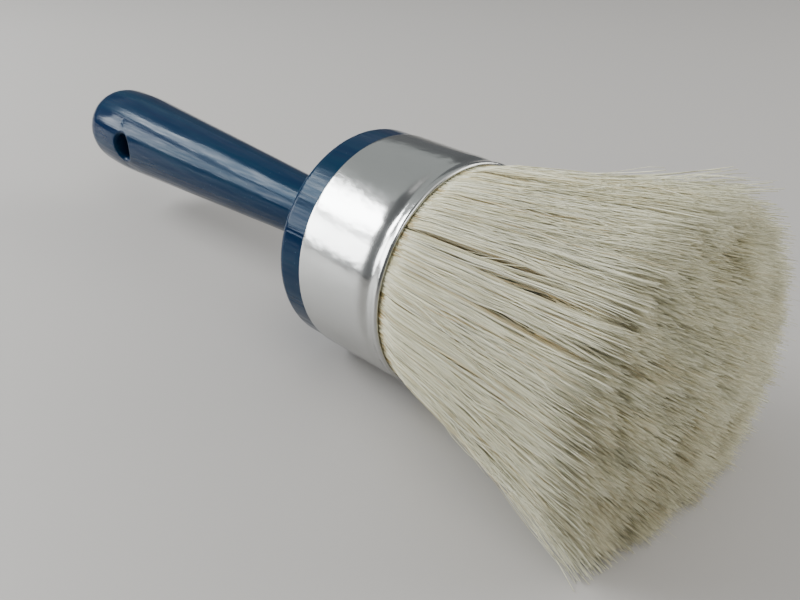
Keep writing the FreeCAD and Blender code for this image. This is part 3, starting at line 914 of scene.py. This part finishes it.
def heart_material(groups, look):
    """Bristles seen deep in the gaps: tan in fine streaks, made darker by painted shade from the mouth
    on.
    """
    material, tree, shader = new_material("packed_bristle")
    streak = use_group(tree, groups["streaks"], Width=2600.0, Length=60.0, Contrast=2.4)
    tan = tuple(look.tan)
    # painted shade: a darker copy of the tan for the bristles deep in the gaps
    gap_shade = mix_colours(
        tree, streak.outputs[0], tuple(0.10 * c for c in tan), tuple(0.40 * c for c in tan))
    lit = mix_colours(tree, streak.outputs[0], tan, tuple(look.cream))
    place = tree.nodes.new("ShaderNodeTexCoord")
    parts = tree.nodes.new("ShaderNodeSeparateXYZ")
    tree.links.new(place.outputs["Object"], parts.inputs[0])
    past_mouth = maths(tree, "SUBTRACT", parts.outputs["X"], MOUTH_X)
    inward = maths(tree, "DIVIDE", past_mouth, 7.0 * MM)
    inward.node.use_clamp = True
    # the painted shade takes over within 7 mm past the mouth; nearer the mouth the core keeps the lit
    # copy
    colour = mix_colours(tree, inward, lit, gap_shade)
    tree.links.new(colour, shader.inputs["Base Color"])
    rough = ramp(tree, streak.outputs[0], [(0.0, grey(0.6)), (1.0, grey(0.8))])
    tree.links.new(rough, shader.inputs["Roughness"])
    bump(tree, streak.outputs[0], shader, 0.5, 0.2 * MM)
    return material


# ---------------------------------------------------------------- operators


def look_of(name):
    """The settings of one part of the brush."""
    return getattr(bpy.context.scene, name)


def shared_groups():
    """The shader groups, made once and found again after that."""
    makers = {
        "streaks": ("lengthwise_streaks", streak_group), "specks": ("dust_specks", speck_group),
        "band": ("edge_band", band_group), "scratches": ("turned_scratches", scratch_group)}
    return {key: bpy.data.node_groups.get(name) or make() for key, (name, make) in makers.items()}


class ROUNDBRUSH_OT_lacquer_handle(bpy.types.Operator):
    """Lacquer the turned handle"""

    bl_idname = "round_brush.lacquer_handle"
    bl_label = "Lacquer the handle"

    def execute(self, context):
        dress_node("handle", lacquer_material(shared_groups(), look_of("brush_handle")))
        return {"FINISHED"}


class ROUNDBRUSH_OT_finish_ferrule(bpy.types.Operator):
    """Give the ferrule and its nails their metal finish"""

    bl_idname = "round_brush.finish_ferrule"
    bl_label = "Finish the ferrule"

    def execute(self, context):
        look = look_of("brush_ferrule")
        ring = make_ring()
        finish_piece(ring, steel_material(shared_groups(), look), "ferrule_steel", "ferrule")
        dress_node("ferrule_nails", nail_material(shared_groups(), look))
        return {"FINISHED"}


class ROUNDBRUSH_OT_finish_inside(bpy.types.Operator):
    """Finish the plug and the resin inside the ferrule"""

    bl_idname = "round_brush.finish_inside"
    bl_label = "Finish the inside"

    def execute(self, context):
        dress_node("core_plug", wood_material(shared_groups()))
        dress_node("resin_setting", resin_material(shared_groups()))
        return {"FINISHED"}


class ROUNDBRUSH_OT_grow_bristles(bpy.types.Operator):
    """Grow the bristles in place of the plain bundle"""

    bl_idname = "round_brush.grow_bristles"
    bl_label = "Grow the bristles"

    def execute(self, context):
        look = look_of("brush_bundle")
        rng = np.random.default_rng(SEED)
        bundle = Bundle(look, rng)
        finish = bristle_material(look)
        heart = bundle_heart(look)
        finish_piece(heart, heart_material(shared_groups(), look), "bristle", "bristle_bundle")
        for k in range(look.outer_pieces):
            outer = Bristles(look.outer_count, rng, 0.92, 1.0, look, bundle)
            finish_piece(grow(f"bristles_outer_{k + 1}", outer, 9), finish, "bristle")
        inner = Bristles(look.inner_count, rng, 0.82, 0.94, look, bundle)
        inner.part_size = 1.9
        finish_piece(grow("bristles_inner", inner, 7), finish, "bristle")
        loose = loose_bristles(look, rng, bundle)
        finish_piece(grow("bristles_loose", loose, 12), finish, "bristle")
        strays = Strays(look, rng, bundle, TUFTS)
        finish_piece(grow("bristles_stray", strays, 16), finish, "bristle")
        for k in range(look.face_pieces):
            face = Bristles(look.face_count, rng, 0.0, 0.98, look, bundle)
            face.start = face.end - FACE_LENGTH
            face.make_short()
            finish_piece(grow(f"bristles_face_{k + 1}", face, 4), finish, "bristle")
        flags = Bristles(look.flag_count, rng, 0.0, 1.0, look, bundle)
        flags.start = flags.end - FLAG_LENGTH
        flags.make_short()
        flags.end = flags.end + FLAG_REACH
        flags.radius *= 0.55
        flags.tint *= 0.5
        finish_piece(grow("bristle_flags", flags, 2), finish, "bristle")
        return {"FINISHED"}


def loose_bristles(look, rng, bundle):
    """Wayward bristles over the others: wavier, mostly pale and crossing them."""
    loose = Bristles(look.loose_count, rng, 1.0, 1.03, look, bundle)
    loose.radius *= 1.05
    loose.wave *= 2.2
    loose.lean *= 2.2
    loose.pull_share *= 0.3
    loose.stain_size = 0.0
    loose.tint = np.clip(rng.normal(0.20, 0.26, loose.count), 0.0, 1.0)
    return loose


class Tuft:
    """Strays that spring from one side: angle and spread in degrees, count, where they leave
    the bundle, how far they stand out, lean round and reach past the face, in mm."""

    def __init__(self, angle, spread, count, leave, rise, turn, reach):
        self.angle = math.radians(angle)
        self.spread = math.radians(spread)
        self.count = count
        self.leave = leave
        self.rise = rise * MM
        self.turn = turn * MM
        self.reach = reach * MM


TUFTS = [
    Tuft(62.0, 9.0, 30, 0.45, 6.6, 0.0, -10.0),
    Tuft(76.0, 7.0, 20, 0.40, 4.6, 0.0, -15.0),
    Tuft(229.0, 3.0, 4, 0.20, 4.6, 0.0, -28.0),
    Tuft(222.0, 5.0, 8, 0.60, 5.0, 0.0, -9.0),
    Tuft(224.0, 9.0, 44, 0.62, 4.4, 0.0, 2.0),
    Tuft(0.0, 180.0, 320, 0.55, 1.1, 0.0, 2.2),
]


class Strays(Bristles):
    """Bristles that leave the bundle and stand out from it."""

    def __init__(self, look, rng, bundle, tufts):
        count = sum(tuft.count for tuft in tufts)
        super().__init__(count, rng, 1.0, 1.01, look, bundle)
        own = np.repeat(np.arange(len(tufts)), [tuft.count for tuft in tufts])

        def spread(pick):
            return np.array([pick(tufts[k]) for k in own])[:, None]

        wander = rng.uniform(-1, 1, (count, 1))
        self.angle = spread(lambda t: t.angle) + spread(lambda t: t.spread) * wander
        self.leave = spread(lambda t: t.leave) + rng.uniform(-0.1, 0.1, (count, 1))
        self.rise = spread(lambda t: t.rise) * rng.uniform(0.25, 1.0, (count, 1))
        self.turn = spread(lambda t: t.turn) * rng.uniform(-0.3, 1.0, (count, 1))
        self.end = self.face_place() + spread(lambda t: t.reach) * rng.uniform(0.0, 1.0, (count, 1))
        self.pull_share = self.pull_share * 0.0
        self.radius = self.radius * 1.8
        self.tint = np.clip(rng.normal(0.06, 0.08, count), 0.0, 1.0)

    def points(self, along):
        place = super().points(along)
        out = np.clip((along - self.leave) / (1.0 - self.leave), 0.0, 1.2) ** 1.4
        level, across, up = np.zeros_like(self.angle), np.cos(self.angle), np.sin(self.angle)
        radial = np.stack([level, across, up], axis=-1)
        around = np.stack([level, -up, across], axis=-1)
        moved = place + (out * self.rise)[..., None] * radial + (out * self.turn)[..., None] * around
        moved[..., 2] = np.maximum(moved[..., 2], self.radius)
        return moved


class ROUNDBRUSH_OT_set_stage(bpy.types.Operator):
    """Set the camera, the floor and the lights"""

    bl_idname = "round_brush.set_stage"
    bl_label = "Set the stage"

    def execute(self, context):
        look = look_of("brush_stage")
        set_camera(look)
        set_floor(look)
        set_lights(look)
        return {"FINISHED"}


def set_camera(look):
    """The camera, by its place from the ferrule's mouth and its direction."""
    camera = bpy.data.objects.new("brush_camera", bpy.data.cameras.new("brush_camera"))
    bpy.context.scene.collection.objects.link(camera)
    camera.data.lens = look.lens
    camera.data.clip_start = 5.0 * MM
    camera.location = Vector((MOUTH_X, 0.0, AXIS_HEIGHT)) + Vector(look.camera_from_mouth)
    turn, tilt = look.camera_azimuth, look.camera_elevation
    back = Vector((math.sin(turn) * math.cos(tilt), -math.cos(turn) * math.cos(tilt), math.sin(tilt)))
    camera.rotation_mode = "QUATERNION"
    camera.rotation_quaternion = back.to_track_quat("Z", "Y")
    bpy.context.scene.camera = camera


def set_floor(look):
    """A plain pale floor."""
    clear_selection()
    bpy.ops.mesh.primitive_plane_add(size=12.0, location=(0.0, 0.0, 0.0))
    floor = bpy.context.object
    floor.name = floor.data.name = "studio_floor"
    material, tree, shader = new_material("studio_floor", Roughness=0.5)
    place = tree.nodes.new("ShaderNodeTexCoord")
    noise = add_node(tree, "ShaderNodeTexNoise", Scale=3.0, Detail=3.0)
    tree.links.new(place.outputs["Object"], noise.inputs["Vector"])
    pale = tuple(look.floor)
    colour = mix_colours(tree, noise.outputs["Fac"], tuple(0.97 * c for c in pale), pale)
    tree.links.new(colour, shader.inputs["Base Color"])
    floor.data.materials.append(material)


def add_light(name, power, size, azimuth, elevation, distance, colour=(1.0, 1.0, 1.0)):
    """A soft rectangular light at a direction from the ferrule, facing it."""
    data = bpy.data.lights.new(name, "AREA")
    data.shape = "RECTANGLE"
    data.size, data.size_y = size
    data.energy = power
    data.color = colour
    light = bpy.data.objects.new(name, data)
    bpy.context.scene.collection.objects.link(light)
    turn, tilt = math.radians(azimuth), math.radians(elevation)
    away = Vector((math.sin(turn) * math.cos(tilt), -math.cos(turn) * math.cos(tilt), math.sin(tilt)))
    light.location = Vector((MOUTH_X, 0.0, AXIS_HEIGHT)) + away * distance
    light.rotation_mode = "QUATERNION"
    light.rotation_quaternion = away.to_track_quat("Z", "Y")


def set_lights(look):
    """A window of two panes, a broad light overhead, one behind, one beside the tip, a dim wall
    and an even room."""
    low_power = WINDOW_LOW_SHARE * look.window_power
    add_light("window_low", low_power, (0.44, 0.24), -54.0, 14.0, 0.8, (0.96, 0.98, 1.0))
    add_light("window_high", look.window_power, (0.40, 0.20), -62.0, 34.0, 0.8, (0.96, 0.98, 1.0))
    add_light("overhead", look.top_power, (0.9, 0.9), 160.0, 74.0, 0.9, (1.0, 0.99, 0.98))
    add_light("behind", look.back_power, (0.7, 0.5), 150.0, 30.0, 0.9, (1.0, 0.99, 0.97))
    add_light("tip_side", look.tip_power, (0.6, 0.5), 64.0, 50.0, 0.9, (1.0, 0.99, 0.97))
    add_light("far_wall", look.wall_power, (0.9, 0.6), -112.0, 42.0, 0.9, (0.94, 1.0, 0.98))
    world = bpy.data.worlds.new("studio_room")
    bpy.context.scene.world = world
    world.use_nodes = True
    world.node_tree.nodes["Background"].inputs["Color"].default_value = (0.86, 0.90, 0.95, 1.0)
    world.node_tree.nodes["Background"].inputs["Strength"].default_value = look.room


class ROUNDBRUSH_PT_panel(bpy.types.Panel):
    """Lists the steps that finish the brush"""

    bl_label = "Round bristle brush"
    bl_idname = "ROUNDBRUSH_PT_panel"
    bl_space_type = "VIEW_3D"
    bl_region_type = "UI"
    bl_category = "Brush"

    def draw(self, context):
        for step in STEPS:
            self.layout.operator(step.bl_idname)
        for name in SETTINGS:
            settings = getattr(context.scene, name)
            box = self.layout.box()
            for key in settings.bl_rna.properties.keys():
                if key not in ("rna_type", "name"):
                    box.prop(settings, key)


SETTINGS = {
    "brush_bundle": BundleSettings, "brush_handle": HandleSettings,
    "brush_ferrule": FerruleSettings, "brush_stage": StageSettings}
STEPS = [
    ROUNDBRUSH_OT_lacquer_handle, ROUNDBRUSH_OT_finish_ferrule, ROUNDBRUSH_OT_finish_inside,
    ROUNDBRUSH_OT_grow_bristles, ROUNDBRUSH_OT_set_stage]


def register():
    """Registers the settings, the operators and the panel."""
    for kind in [*SETTINGS.values(), *STEPS, ROUNDBRUSH_PT_panel]:
        bpy.utils.register_class(kind)
    for name, kind in SETTINGS.items():
        setattr(bpy.types.Scene, name, PointerProperty(type=kind))


def unregister():
    """Takes them all out again."""
    for name in SETTINGS:
        delattr(bpy.types.Scene, name)
    for kind in reversed([*SETTINGS.values(), *STEPS, ROUNDBRUSH_PT_panel]):
        bpy.utils.unregister_class(kind)


def main():
    """Makes every piece in order."""
    register()
    bpy.ops.round_brush.lacquer_handle()
    bpy.ops.round_brush.finish_ferrule()
    bpy.ops.round_brush.finish_inside()
    bpy.ops.round_brush.grow_bristles()
    bpy.ops.round_brush.set_stage()


if __name__ == "__main__":
    main()
